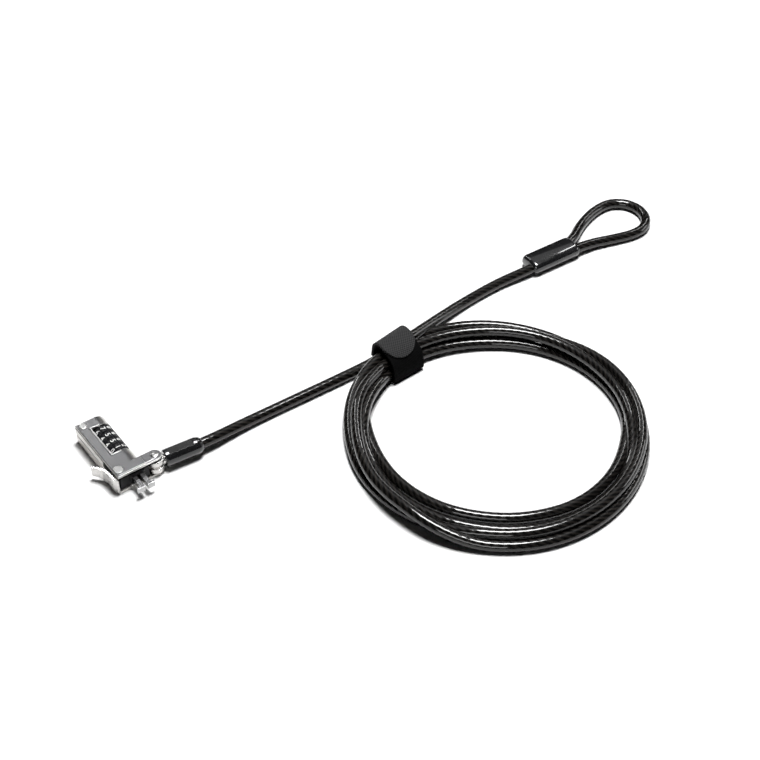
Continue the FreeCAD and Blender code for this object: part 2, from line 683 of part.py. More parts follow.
def cable_coil():
    """The outer shape of four turns tied together: a ring, trimmed to pass through the strap."""
    middle = ("coil_x", "coil_y")
    outer = rod("z", "coil_outer", ("0", "coil_height"), *middle)
    soft = softened("Part::Fillet", outer, COIL_EDGE, lambda edge: edge.BoundBox.ZLength < 0.01)
    inner = rod("z", "coil_inner", ("0 - 1", "coil_height + 1"), "coil_x + coil_shift_x",
                "coil_y + coil_shift_y")
    across = ("0 - strap_width / 2 - 0.2", "strap_width / 2 + 0.2")
    under = block(across, ("strap_near - 5", "strap_far + 5"), ("0 - 1", "strap_thick + 0.05"))
    beside = block(across, ("strap_near - 5", "strap_near + strap_thick + 0.05"), ("0 - 1", "strap_height"))
    room = fuse(under, beside)
    room.Placement = Placement(Vector(), Rotation(Vector(0, 0, 1), SIZES["strap_angle"]))
    bind(room, at_x="strap_x", at_y="strap_y")
    node(cut(soft, inner, room), "cable_coil")


def strap():
    """A hook-and-loop band round the coil, and its rounded free end laid on top."""
    across = ("0 - strap_width / 2", "strap_width / 2")
    loop = block(across, ("strap_near", "strap_far"), ("0", "strap_height"))
    soft = softened("Part::Fillet", loop, STRAP_EDGE, lambda edge: edge.BoundBox.XLength > 1)
    inside = block(("0 - strap_width", "strap_width"),
                   ("strap_near + strap_thick", "strap_far - strap_thick"),
                   ("strap_thick", "strap_height - strap_thick"))
    node(cut(soft, inside), "strap_band", "strap")
    top = ("strap_height", "strap_height + strap_thick")
    end_y = "strap_near + strap_width / 2 - 0.4"
    tab = block(("0.4 - strap_width / 2", "strap_width / 2 - 0.4"), (end_y, "strap_far - 2"), top)
    end = rod("z", "strap_width / 2 - 0.4", top, "0", end_y)
    node(fuse(tab, end), "strap_tab", "strap")


BARRELS = ("0 - barrel_pitch / 2", "barrel_pitch / 2")


def twin(radius, span):
    """Two barrels side by side along the sleeve, grown into each other."""
    return fuse(*[rod("x", radius, span, place, "barrel_z") for place in BARRELS])


def loop_end():
    """The moulded sleeve over a crimped twin ferrule; the far barrel is blind."""
    span = ("0 - barrel_half", "barrel_half")
    body = softened("Part::Fillet", twin("barrel_radius", span), 0.5,
                    lambda edge: edge.BoundBox.XLength < 0.01)
    through = rod("x", "cable_radius", ("0 - 15", "15"), BARRELS[0], "barrel_z")
    blind = rod("x", "cable_radius", ("4.5", "15"), BARRELS[1], "barrel_z")
    cavity = twin("3.0", ("0 - 9", "9"))
    node(cut(body, cavity, through, blind), "loop_sleeve", "sleeve")
    bores = [rod("x", "cable_radius", ("0 - 15", "15"), place, "barrel_z") for place in BARRELS]
    node(cut(twin("3.0", ("0 - 9", "9")), *bores), "loop_ferrule", "sleeve")


# ------------------------------------------------------------------ assembly
top_cover()
bottom_shell()
seal_plate()
dial_bezel()
front_insert()
nib_collar()
core_plate()
node(bearing("12.0", "13.4", "bearing_floor"), "bearing_block")
node(bearing("32.9", "34.3", "plate + 0.1"), "end_bush")
dial_frame()
detent_spring()
fasteners()
for wheel in range(WHEELS):
    dial_wheel(wheel)
    clutch_sleeve(wheel)
spindle()
coil_spring("return_spring", 2.0, 0.2, 5, "dial_x", 34.35, "dial_z")
hook("hook_left", -1)
hook("hook_right", 1)
lever()
reset()
swivel_eye()
cable_grip()
lengths = [cable_tube("cable_lead_lock", LEAD_LOCK), cable_tube("cable_lead_loop", LEAD_LOOP),
           cable_tube("cable_loop", LOOP)]
cable_coil()
strap()
loop_end()

# ------------------------------------------------------------------ checks and export
doc.recompute()
failed = [item for item in doc.Objects if "Invalid" in item.State or "Error" in item.State]
for item in failed:
    print("%s (%s, %s) failed: %s" % (item.Name, item.Label, item.TypeId, item.getStatusString()))
if failed:
    raise RuntimeError("%d objects failed" % len(failed))
for piece in NODES:
    shape = piece.Shape
    if shape.isNull() or not shape.isValid() or shape.Volume <= 0:
        raise RuntimeError(piece.Label + " is not a valid solid")
    shape.exportStep("parts/%s.step" % piece.Label)
    print("%-18s solids %d volume %8.1f" % (piece.Label, len(shape.Solids), shape.Volume))
print("tubes together %.1f mm" % sum(lengths))
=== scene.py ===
"""Looks of the laptop cable lock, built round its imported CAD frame.

Lengths in the tables below are millimetres in the "lock frame", whose origin is the lock head's front
left corner on the table: +X along the short arm, +Y along the long arm, +Z up. at() turns them into
the scene's metres.
"""

import math

import bmesh
import bpy
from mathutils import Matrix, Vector


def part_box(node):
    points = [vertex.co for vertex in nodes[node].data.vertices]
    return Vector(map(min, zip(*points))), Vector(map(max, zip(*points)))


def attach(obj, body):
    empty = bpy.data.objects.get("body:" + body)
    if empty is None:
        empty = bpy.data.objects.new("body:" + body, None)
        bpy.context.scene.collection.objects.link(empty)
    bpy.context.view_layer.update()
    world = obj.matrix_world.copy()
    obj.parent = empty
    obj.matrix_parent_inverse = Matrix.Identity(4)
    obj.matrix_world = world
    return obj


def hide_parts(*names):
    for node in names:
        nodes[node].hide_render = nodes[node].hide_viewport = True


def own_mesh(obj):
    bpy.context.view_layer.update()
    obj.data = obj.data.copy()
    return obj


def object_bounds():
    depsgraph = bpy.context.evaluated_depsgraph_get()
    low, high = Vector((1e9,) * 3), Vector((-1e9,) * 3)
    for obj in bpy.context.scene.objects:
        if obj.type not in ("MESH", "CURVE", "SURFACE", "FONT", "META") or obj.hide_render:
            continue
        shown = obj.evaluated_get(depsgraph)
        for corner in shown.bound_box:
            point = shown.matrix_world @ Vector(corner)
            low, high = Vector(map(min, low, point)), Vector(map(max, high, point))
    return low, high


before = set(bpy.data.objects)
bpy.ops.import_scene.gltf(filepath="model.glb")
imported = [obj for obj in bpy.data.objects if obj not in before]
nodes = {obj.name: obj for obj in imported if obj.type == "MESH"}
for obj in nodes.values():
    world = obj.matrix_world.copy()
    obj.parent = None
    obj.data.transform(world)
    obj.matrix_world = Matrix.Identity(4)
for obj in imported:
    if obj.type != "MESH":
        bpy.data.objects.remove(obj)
cad_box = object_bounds()

MM = 0.001
UV_UNIT = 100  # mm of surface for each unit of a UV map
CORNER = Vector(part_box("bottom_shell")[0])


def at(x, y, z):
    """A point of the lock frame in the scene."""
    return CORNER + Vector((x, y, z)) * MM


# ------------------------------------------------------------------ camera
CAMERA_PLACE = (-185.99, -447.85, 515.08)
CAMERA_TILT = 46.5
CAMERA_TURN = -35.75
CAMERA_LENS = 77.4
SENSOR_WIDTH = 36

camera = bpy.data.objects.new("Camera", bpy.data.cameras.new("Camera"))
camera.data.lens = CAMERA_LENS
camera.data.sensor_width = SENSOR_WIDTH
camera.location = at(*CAMERA_PLACE)
camera.rotation_euler = (math.radians(CAMERA_TILT), 0, math.radians(CAMERA_TURN))
bpy.context.collection.objects.link(camera)
bpy.context.scene.camera = camera

# ------------------------------------------------------------------ cable route
CABLE_RADIUS = 2.5
CABLE_SIDES = 28
CABLE_STEP = 0.7
ROUTE_RESOLUTION = 14
COIL_CENTRE = (151.3, -64.6)
LEAD_LOCK = [(31.55, 2.04, 5.0), (44.5, 0.95, 4.95), (59.0, 2.4, 3.3), (75.0, 2.8, 2.5), (104.5, 2.1, 2.5),
             (133.5, 1.75, 2.5)]
LEAD_LOOP = [(152.5, 1.2, 7.5), (163.0, 4.0, 6.0), (176.5, 7.8, 3.7), (194.0, 10.9, 2.5), (214.0, 12.4, 2.5),
             (229.0, 11.3, 3.1), (240.5, 10.31, 3.7), (251.91, 9.91, 3.7)]
LOOP = [(262.4, 9.55, 3.7), (273.0, 8.9, 2.9), (283.2, 5.9, 2.5), (293.8, 2.7, 2.5),
        (302.2, 2.7, 2.5), (309.1, 7.7, 2.5), (311.7, 15.7, 2.5), (309.1, 23.7, 2.5), (302.2, 28.7, 2.5),
        (293.8, 28.7, 2.5), (284.8, 26.3, 2.5), (276.0, 22.3, 2.6), (268.6, 17.4, 3.2), (261.0, 14.8, 3.7),
        (254.0, 15.05, 3.7)]
STRAP_ANGLE = 97
COIL_STEP = 10
# For each turn: how far it has gone round from the strap, in degrees, its distance from the coil's
# centre and its height. Turns ride over each other where they cross.
TURNS = (
    ((0, 67.5, 3.6), (13, 68.5, 3.3), (37, 70.0, 2.5), (67, 68.2, 2.5), (97, 66.0, 2.5),
     (127, 66.5, 2.5), (157, 67.0, 2.5), (202, 68.3, 2.5), (217, 68.0, 2.6), (232, 67.5, 2.9),
     (247, 66.3, 6.3), (262, 64.0, 8.0), (277, 63.0, 7.7), (292, 61.7, 8.2), (307, 60.5, 9.0),
     (322, 60.8, 9.8), (333, 60.8, 9.2), (345, 60.2, 8.0)),
    ((0, 60.0, 7.9), (37, 59.6, 7.8), (67, 60.2, 8.1), (97, 60.6, 7.4), (127, 60.8, 7.4),
     (142, 61.4, 5.2), (157, 62.2, 2.6), (187, 61.2, 2.5), (202, 60.5, 2.5), (217, 59.5, 2.5),
     (232, 58.5, 2.5), (277, 57.7, 2.5), (292, 57.7, 3.6), (307, 57.8, 5.2), (322, 57.2, 7.0),
     (333, 57.0, 6.2), (345, 57.4, 4.3)),
    ((0, 57.5, 3.6), (40, 56.8, 2.8), (67, 58.6, 2.6), (97, 60.3, 2.5), (127, 60.2, 2.5),
     (142, 57.9, 2.5), (157, 57.0, 2.5), (187, 55.0, 2.5), (202, 53.5, 2.5), (217, 52.5, 2.5),
     (232, 51.8, 2.5), (262, 52.0, 2.5), (277, 52.4, 2.5), (292, 53.0, 2.5), (307, 54.5, 2.5),
     (322, 57.5, 2.5), (333, 60.5, 2.9), (345, 62.3, 3.6)),
    ((0, 62.5, 3.6), (37, 62.0, 3.4), (67, 63.4, 5.2), (97, 65.3, 7.4), (127, 65.4, 7.4),
     (157, 64.8, 6.8), (187, 64.6, 6.2), (202, 64.5, 5.7), (217, 63.8, 5.2), (232, 63.1, 4.9),
     (247, 62.9, 3.4), (262, 63.0, 2.7), (277, 63.2, 2.5), (292, 63.4, 2.9), (307, 63.4, 3.6),
     (322, 64.4, 4.8), (333, 65.1, 6.0), (345, 65.1, 7.5)),
)
STRAP_OUT = (65.0, 7.9)


def smooth_between(stations, turned):
    """Distance and height at an angle, on a smooth curve through the stations (Hermite)."""
    for index in range(len(stations) - 1):
        low, high = stations[index], stations[index + 1]
        if turned <= high[0]:
            break
    before = stations[max(index - 1, 0)]
    after = stations[min(index + 2, len(stations) - 1)]
    span = high[0] - low[0]
    u = (turned - low[0]) / span
    result = []
    for axis in (1, 2):
        slope_low = (high[axis] - before[axis]) / (high[0] - before[0]) * span
        slope_high = (after[axis] - low[axis]) / (after[0] - low[0]) * span
        result.append((2 * u ** 3 - 3 * u ** 2 + 1) * low[axis] + (u ** 3 - 2 * u ** 2 + u) * slope_low
                      + (3 * u ** 2 - 2 * u ** 3) * high[axis] + (u ** 3 - u ** 2) * slope_high)
    return result


def coil_point(turned, distance, height):
    """A point of the coil, at an angle clockwise from the strap."""
    angle = math.radians(STRAP_ANGLE - turned)
    return (COIL_CENTRE[0] + distance * math.cos(angle), COIL_CENTRE[1] + distance * math.sin(angle), height)


def coil_points():
    """The four turns, clockwise from the strap and back under it."""
    points = []
    ends = [turn[0][1:] for turn in TURNS[1:]] + [STRAP_OUT]
    for turn, end in zip(TURNS, ends):
        stations = [*turn, (360, *end)]
        for turned in range(0, 360, COIL_STEP):
            points.append(coil_point(turned, *smooth_between(stations, turned)))
    points.append(coil_point(360, *STRAP_OUT))
    return points


def spline_points(name, route):
    """The smooth line of a route: points read from a NURBS spline with the route as control points."""
    data = bpy.data.curves.new(name, "CURVE")
    data.dimensions = "3D"
    data.resolution_u = ROUTE_RESOLUTION
    spline = data.splines.new("NURBS")
    spline.points.add(len(route) - 1)
    for control, place in zip(spline.points, route):
        control.co = (*at(*place), 1)
    spline.order_u = 3
    spline.use_endpoint_u = True
    holder = bpy.data.objects.new(name, data)
    bpy.context.collection.objects.link(holder)
    line = bpy.data.meshes.new_from_object(holder)
    points = [vertex.co.copy() for vertex in line.vertices]
    bpy.data.objects.remove(holder)
    bpy.data.curves.remove(data)
    bpy.data.meshes.remove(line)
    return points


def evenly(points, step):
    """Points a step apart along a line, and the line's length."""
    total = sum((b - a).length for a, b in zip(points, points[1:]))
    count = round(total / step)
    spacing = total / count
    result = [points[0].copy()]
    done = 0.0
    for a, b in zip(points, points[1:]):
        edge = (b - a).length
        while len(result) < count and done + edge >= len(result) * spacing:
            result.append(a.lerp(b, (len(result) * spacing - done) / edge))
        done += edge
    result.append(points[-1].copy())
    return result, total


def new_object(name, mesh_builder):
    """A smooth-shaded object from a bmesh, which is freed."""
    mesh = bpy.data.meshes.new(name)
    mesh_builder.to_mesh(mesh)
    mesh_builder.free()
    mesh.polygons.foreach_set("use_smooth", [True] * len(mesh.polygons))
    thing = bpy.data.objects.new(name, mesh)
    bpy.context.collection.objects.link(thing)
    return thing


STRANDS = 7
LAY_LENGTH = 26.0
STRAND_RISE = 0.018


def cable_tube(name, line, radius):
    """A round tube along a line, its sheath drawn slightly over twisted strands."""
    built = bmesh.new()
    uv_layer = built.loops.layers.uv.new("UVMap")
    normal = Vector((0, 0, 1))
    rings = []
    along = 0.0
    distances = []
    for index, place in enumerate(line):
        before = line[max(index - 1, 0)]
        after = line[min(index + 1, len(line) - 1)]
        tangent = (after - before).normalized()
        normal = (normal - tangent * normal.dot(tangent)).normalized()
        across = tangent.cross(normal)
        if index:
            along += (place - before).length / MM
        distances.append(along)
        ring = []
        for side in range(CABLE_SIDES):
            angle = 2 * math.pi * side / CABLE_SIDES
            twist = STRANDS * (angle - 2 * math.pi * along / LAY_LENGTH)
            reach = (radius - STRAND_RISE + STRAND_RISE * math.cos(twist)) * MM
            outward = normal * math.cos(angle) + across * math.sin(angle)
            ring.append(built.verts.new(place + outward * reach))
        rings.append(ring)
    for index in range(len(rings) - 1):
        for side in range(CABLE_SIDES):
            turn = (side + 1) % CABLE_SIDES
            face = built.faces.new((rings[index][side], rings[index][turn], rings[index + 1][turn],
                                    rings[index + 1][side]))
            corners = ((index, side), (index, side + 1), (index + 1, side + 1), (index + 1, side))
            for loop, (ring_index, side_index) in zip(face.loops, corners):
                loop[uv_layer].uv = (distances[ring_index] / UV_UNIT, side_index / CABLE_SIDES)
    built.faces.new(list(reversed(rings[0])))
    built.faces.new(rings[-1])
    bmesh.ops.recalc_face_normals(built, faces=built.faces)
    return new_object(name, built)


# ------------------------------------------------------------------ material helpers
# In mm: the radius of a soft edge, the depths of the bumps, and the pitch of the fine wires along the cable.
EDGE = 0.12
GRAIN_DEPTH = 0.02
CABLE_RELIEF = 0.04
WEAVE_DEPTH = 0.12
WIRE_PITCH = 1.55
# Counts, and the scales of the two grains' noise.
WIRES_ROUND = 26
BEVEL_SAMPLES = 6
METAL_GRAIN = 2800
PLASTIC_GRAIN = 3000


class Nodes:
    """A material's node tree, with short calls for the nodes used here."""

    def __init__(self, name):
        self.material = bpy.data.materials.new(name)
        self.material.use_nodes = True
        self.tree = self.material.node_tree
        self.shader = self.tree.nodes["Principled BSDF"]

    def add(self, kind, inputs=(), **settings):
        """A new node, with its inputs fed and its settings made."""
        item = self.tree.nodes.new("ShaderNode" + kind)
        for key, value in settings.items():
            setattr(item, key, value)
        for key, value in dict(inputs).items():
            self.feed(item.inputs[key], value)
        return item

    def feed(self, socket, value):
        """Links a socket to another, or sets its number."""
        if isinstance(value, bpy.types.NodeSocket):
            self.tree.links.new(value, socket)
        else:
            socket.default_value = value

    def set(self, **inputs):
        """Feeds the shader's inputs, with _ for a space in their names."""
        for key, value in inputs.items():
            self.feed(self.shader.inputs[key.replace("_", " ")], value)
        return self

    def coords(self, kind="Object"):
        return self.add("TexCoord").outputs[kind]

    def noise(self, scale, detail=4.0, roughness=0.5):
        item = self.add("TexNoise", {"Scale": scale, "Detail": detail, "Roughness": roughness,
                                     "Vector": self.coords()})
        return item.outputs["Fac"]

    def math(self, operation, first, second=0.0):
        item = self.add("Math", operation=operation)
        self.feed(item.inputs[0], first)
        self.feed(item.inputs[1], second)
        return item.outputs[0]

    def ramp(self, value, low, high, bottom=0.0, top=1.0):
        """A value between low and high as one between bottom and top."""
        item = self.add("MapRange", {"Value": value, "From Min": low, "From Max": high, "To Min": bottom,
                                     "To Max": top})
        return item.outputs["Result"]

    def mix(self, factor, first, second):
        """A blend of two colours, each a tuple or a socket."""
        item = self.add("Mix", data_type="RGBA")
        self.feed(item.inputs[0], factor)
        self.feed(item.inputs[6], (*first, 1) if isinstance(first, tuple) else first)
        self.feed(item.inputs[7], (*second, 1) if isinstance(second, tuple) else second)
        return item.outputs[2]

    def bump(self, height, strength, distance, normal=None):
        inputs = {"Height": height, "Strength": strength, "Distance": distance}
        if normal is not None:
            inputs["Normal"] = normal
        return self.add("Bump", inputs).outputs["Normal"]

    def soft_edges(self, radius):
        return self.add("Bevel", {"Radius": radius * MM}, samples=BEVEL_SAMPLES).outputs["Normal"]

    def edge_mask(self, radius):
        """1 on sharp edges, 0 on flat faces."""
        true_normal = self.add("NewGeometry").outputs["Normal"]
        rounded = self.soft_edges(radius)
        dot = self.add("VectorMath", {0: rounded, 1: true_normal}, operation="DOT_PRODUCT").outputs["Value"]
        return self.ramp(dot, 1.0, 0.85)


def metal(name, dark, light, roughness, relief=0.05, edge=EDGE, side_highlight=None, edge_highlight_share=0.7, glint=0.08,
          metallic=1.0):
    """Plated or blasted metal: cloudy tone, fine grain, and edges coloured brighter as a painted highlight.

    side_highlight is the colour of all but the top faces, a painted highlight on the sides.
    edge_highlight_share is how much of the edges' painted-highlight colour shows, and glint is how far
    that colour is lifted.
    """
    n = Nodes(name)
    tone = n.mix(n.noise(160, 3), dark, light)
    # Painted highlight: all but the top faces take a lighter colour in place of the light they would reflect.
    if side_highlight:
        facing = n.add("SeparateXYZ", {"Vector": n.add("NewGeometry").outputs["Normal"]}).outputs[2]
        tone = n.mix(n.ramp(facing, 0.99, 0.9), tone, side_highlight)
    # Painted highlight: sharp edges are coloured brighter, as if catching the light.
    edge_highlight_mask = n.edge_mask(edge)
    edge_highlight_colour = tuple(min(1.0, part * 1.35 + glint) for part in light)
    colour = n.mix(n.math("MULTIPLY", edge_highlight_mask, edge_highlight_share), tone, edge_highlight_colour)
    rough = n.ramp(n.noise(420, 4), 0.3, 0.7, roughness * 0.9, roughness * 1.1)
    normal = n.bump(n.noise(METAL_GRAIN, 2), relief, GRAIN_DEPTH * MM, n.soft_edges(edge))
    return n.set(Base_Color=colour, Metallic=metallic, Roughness=rough, Normal=normal).material


def plastic(name, colour, roughness, relief=0.08, coat=0.0, shine=0.2):
    """Moulded plastic with a faint grain and slightly uneven gloss."""
    n = Nodes(name)
    lighter = tuple(part * 1.9 + 0.001 for part in colour)
    tone = n.mix(n.noise(240, 3), colour, lighter)
    rough = n.ramp(n.noise(350, 3), 0.3, 0.7, roughness * 0.8, roughness * 1.25)
    normal = n.bump(n.noise(PLASTIC_GRAIN, 2), relief, GRAIN_DEPTH * MM, n.soft_edges(EDGE))
    n.set(Base_Color=tone, Roughness=rough, Normal=normal)
    n.shader.inputs["Specular IOR Level"].default_value = shine
    n.shader.inputs["Coat Weight"].default_value = coat
    n.shader.inputs["Coat Roughness"].default_value = 0.06
    return n.material


def cable_sheath():
    """Smoky gloss sheath: twisted steel strands show through as slanting bands of fine wires."""
    n = Nodes("cable_sheath")
    uv = n.add("SeparateXYZ", {"Vector": n.coords("UV")})
    along = n.math("MULTIPLY", uv.outputs[0], UV_UNIT / LAY_LENGTH)
    phase = n.math("MULTIPLY", n.math("SUBTRACT", uv.outputs[1], along), STRANDS * 2 * math.pi)
    crest = n.ramp(n.math("COSINE", phase), -0.7, 1.0)
    wires = n.math("ADD", n.math("MULTIPLY", uv.outputs[1], 2 * math.pi * WIRES_ROUND),
                   n.math("MULTIPLY", uv.outputs[0], UV_UNIT * 2 * math.pi / WIRE_PITCH))
    wire = n.ramp(n.math("SINE", wires), -0.2, 1.0)
    cloud = n.ramp(n.noise(60, 3), 0.35, 0.65, 0.55, 1.0)
    lit_wire = n.math("ADD", n.math("MULTIPLY", wire, 0.7), 0.3)
    shown = n.math("MULTIPLY", n.math("MULTIPLY", crest, lit_wire), cloud)
    colour = n.mix(shown, (0.001, 0.001, 0.001), (0.03, 0.0255, 0.022))
    sway = n.math("ADD", n.math("COSINE", phase), n.math("MULTIPLY", n.noise(240, 3), 2.5))
    n.set(Base_Color=colour, Roughness=n.ramp(n.noise(300, 3), 0.3, 0.7, 0.3, 0.42),
          Normal=n.bump(sway, 0.45, CABLE_RELIEF * MM))
    n.shader.inputs["Specular IOR Level"].default_value = 0.08
    n.shader.inputs["Coat Weight"].default_value = 0.8
    n.shader.inputs["Coat Roughness"].default_value = 0.07
    n.shader.inputs["Coat IOR"].default_value = 1.5
    return n.material


def woven(name, dark, light, pitch, shine=0.1, sheen=0.03):
    """Woven tape: crossing ribs of yarn, a little fuzz, and a sheen."""
    n = Nodes(name)
    uv = n.add("SeparateXYZ", {"Vector": n.coords("UV")})
    turns = 2 * math.pi * UV_UNIT / pitch
    across = n.math("SINE", n.math("MULTIPLY", uv.outputs[0], turns))
    along = n.math("SINE", n.math("MULTIPLY", uv.outputs[1], turns))
    weave = n.math("MULTIPLY", across, along)
    fuzz = n.noise(2600, 4, 0.7)
    height = n.math("ADD", n.math("MULTIPLY", weave, 0.7), fuzz)
    colour = n.mix(n.ramp(height, -0.2, 1.3), dark, light)
    n.set(Base_Color=colour, Roughness=0.85, Normal=n.bump(height, 0.9, WEAVE_DEPTH * MM))
    n.shader.inputs["Specular IOR Level"].default_value = shine
    n.shader.inputs["Sheen Weight"].default_value = sheen
    n.shader.inputs["Sheen Roughness"].default_value = 0.5
    return n.material


def paint(name, colour):
    """Printed white ink with a slight unevenness."""
    n = Nodes(name)
    tone = n.mix(n.noise(900, 3), tuple(part * 0.82 for part in colour), colour)
    return n.set(Base_Color=tone, Roughness=n.ramp(n.noise(700, 3), 0.3, 0.7, 0.4, 0.6)).material


# ------------------------------------------------------------------ materials of the CAD nodes
# Cover, heads and hooks: their lighter side faces are a painted highlight. Cover and heads also get strongly
# brightened edges as a painted highlight.
COVER = metal("cover_metal", (0.125, 0.125, 0.128), (0.145, 0.145, 0.148), 0.34, relief=0.12, edge=0.3,
              side_highlight=(0.62, 0.61, 0.59), edge_highlight_share=1.0, glint=0.53)
SHELL = metal("shell_metal", (0.66, 0.64, 0.61), (0.74, 0.72, 0.69), 0.42, metallic=0.6)
BRIGHT = metal("bright_plating", (0.56, 0.545, 0.53), (0.64, 0.63, 0.615), 0.26, relief=0.03, edge=0.2,
               metallic=0.9)
RIM = metal("rim_silver", (0.42, 0.42, 0.415), (0.48, 0.48, 0.475), 0.34, relief=0.03)
HEAD = metal("head_silver", (0.25, 0.25, 0.248), (0.3, 0.3, 0.297), 0.3, relief=0.05, edge=0.25,
             side_highlight=(0.62, 0.615, 0.60), edge_highlight_share=1.0, glint=0.53)
STEEL = metal("machined_steel", (0.42, 0.42, 0.43), (0.55, 0.55, 0.56), 0.28)
HOOK = metal("hook_steel", (0.17, 0.17, 0.175), (0.24, 0.24, 0.245), 0.26, side_highlight=(0.42, 0.42, 0.42))
BLACK = plastic("black_plastic", (0.008, 0.008, 0.009), 0.42)
# The near-black, barely shiny seal plate is partly the real dark joint between cover and shell, and partly
# painted shade of the gap under the cover.
SEAL_AND_GAP_SHADE = plastic("seal_and_gap_shade", (0.002, 0.002, 0.0022), 0.7, shine=0.02)
WHEEL = plastic("wheel_plastic", (0.007, 0.007, 0.008), 0.32)
GRIP = plastic("grip_gloss", (0.006, 0.006, 0.0065), 0.24, relief=0.03, coat=1.0)
SHEATH = cable_sheath()
# The tab and the band are the same tape. The tab is given a lighter colour as a painted sheen on its lit top,
# and the band keeps the tape's near-black.
TAB_TAPE_PAINTED_SHEEN = woven("strap_tab_painted_sheen", (0.008, 0.008, 0.0082), (0.056, 0.056, 0.057), 1.3)
BAND_TAPE = woven("strap_band_tape", (0.001, 0.001, 0.001), (0.005, 0.005, 0.0052), 0.9,
                  shine=0.03, sheen=0.0)
INK = paint("number_ink", (0.86, 0.86, 0.85))

WHEELS = 4
FINISHES = {
    COVER: ["top_cover"],
    SHELL: ["bottom_shell"],
    BRIGHT: ["lever", "swivel_eye", "reset_plunger"],
    RIM: ["dial_bezel"],
    HEAD: ["lever_pin", "cover_screw", "pivot_rivet"],
    HOOK: ["hook_left", "hook_right"],
    STEEL: ["spindle", "spindle_clip", "hook_pins", "pivot_washer", "bottom_screws", "swivel_retainer",
            "core_plate", "bearing_block", "end_bush", "detent_spring", "return_spring", "reset_spring",
            "cable_ferrule", "loop_ferrule"],
    BLACK: ["front_insert", "nib_collar", "dial_frame"],
    SEAL_AND_GAP_SHADE: ["seal_plate"],
    GRIP: ["cable_grip"],
}
for wheel in range(1, WHEELS + 1):
    FINISHES.setdefault(WHEEL, []).append("dial_wheel_%d" % wheel)
    FINISHES[STEEL].append("clutch_sleeve_%d" % wheel)


def finish_nodes():
    """Gives every CAD node its material."""
    for material, names in FINISHES.items():
        for name in names:
            for place in nodes[name].material_slots:
                place.material = material


# ------------------------------------------------------------------ cable
def make_cable():
    """The one cable, from inside the grip round the coil and the loop into the sleeve."""
    route = LEAD_LOCK + coil_points() + LEAD_LOOP + LOOP
    line, length = evenly(spline_points("cable_route", route), CABLE_STEP * MM)
    cable = cable_tube("steel_cable", line, CABLE_RADIUS)
    cable.data.materials.append(SHEATH)
    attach(cable, "cable")
    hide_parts("cable_lead_lock", "cable_coil", "cable_lead_loop", "cable_loop")
    print("cable length %.4f m" % length)


# ------------------------------------------------------------------ strap
STRAP_MIDDLE = (143.6, -3.4)
STRAP_WIDTH = 17.4
# The strap sits skewed across the cable: its turn in degrees at the middle, and how that grows per mm.
STRAP_TURN = 6.3
STRAP_TWIST = 0.32
STRAP_LEAN = 0.05
STRAP_NEAR = -10.4
STRAP_FAR = 9.4
STRAP_TOP = 12.8
STRAP_BEND = 3.6
BEND_STEPS = 6
TAPE_THICK = 1.1
TAPE_STEP = 0.45
TAPE_COLUMNS = 26
TAPE_EDGE = 0.3
TIP_HALF_WIDTH = 0.4


def tape(name, path, half_width, material):
    """A flat tape along a path of (y, z) points from the strap's middle; half_width(s, length) narrows it."""
    built = bmesh.new()
    uv_layer = built.loops.layers.uv.new("UVMap")
    line, length = evenly([Vector((0, y, z)) for y, z in path], TAPE_STEP)
    rows = []
    for index, place in enumerate(line):
        row = []
        along = length * index / (len(line) - 1)
        turn = math.radians(STRAP_TURN + STRAP_TWIST * place.y)
        reach = half_width(along, length)
        for column in range(TAPE_COLUMNS + 1):
            x = reach * (2 * column / TAPE_COLUMNS - 1)
            point = (STRAP_MIDDLE[0] + STRAP_LEAN * place.y + x * math.cos(turn),
                     STRAP_MIDDLE[1] + place.y + x * math.sin(turn), place.z)
            row.append((built.verts.new(at(*point)), (x / UV_UNIT, along / UV_UNIT)))
        rows.append(row)
    for low, high in zip(rows, rows[1:]):
        for column in range(TAPE_COLUMNS):
            corners = (low[column], low[column + 1], high[column + 1], high[column])
            face = built.faces.new([vertex for vertex, uv in corners])
            for loop, (vertex, uv) in zip(face.loops, corners):
                loop[uv_layer].uv = uv
    piece = new_object(name, built)
    thickness = piece.modifiers.new("thickness", "SOLIDIFY")
    thickness.thickness = TAPE_THICK * MM
    thickness.offset = 0
    bevel = piece.modifiers.new("edges", "BEVEL")
    bevel.width = TAPE_EDGE * MM
    bevel.segments = 2
    bevel.limit_method = "ANGLE"
    piece.data.materials.append(material)
    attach(piece, "cable")
    return piece


def rounded_path(corners):
    """A polyline with its corners rounded over STRAP_BEND, or half a run where that is shorter."""
    result = [Vector(corners[0])]
    for a, b, c in zip(corners, corners[1:], corners[2:]):
        a, b, c = Vector(a), Vector(b), Vector(c)
        into, out = (b - a).normalized(), (c - b).normalized()
        cut = min(STRAP_BEND, (b - a).length * 0.5, (c - b).length * 0.5)
        for step in range(BEND_STEPS + 1):
            u = step / BEND_STEPS
            first = b - into * cut * (1 - u)
            second = b + out * cut * u
            result.append(first.lerp(second, u))
    result.append(Vector(corners[-1]))
    return result


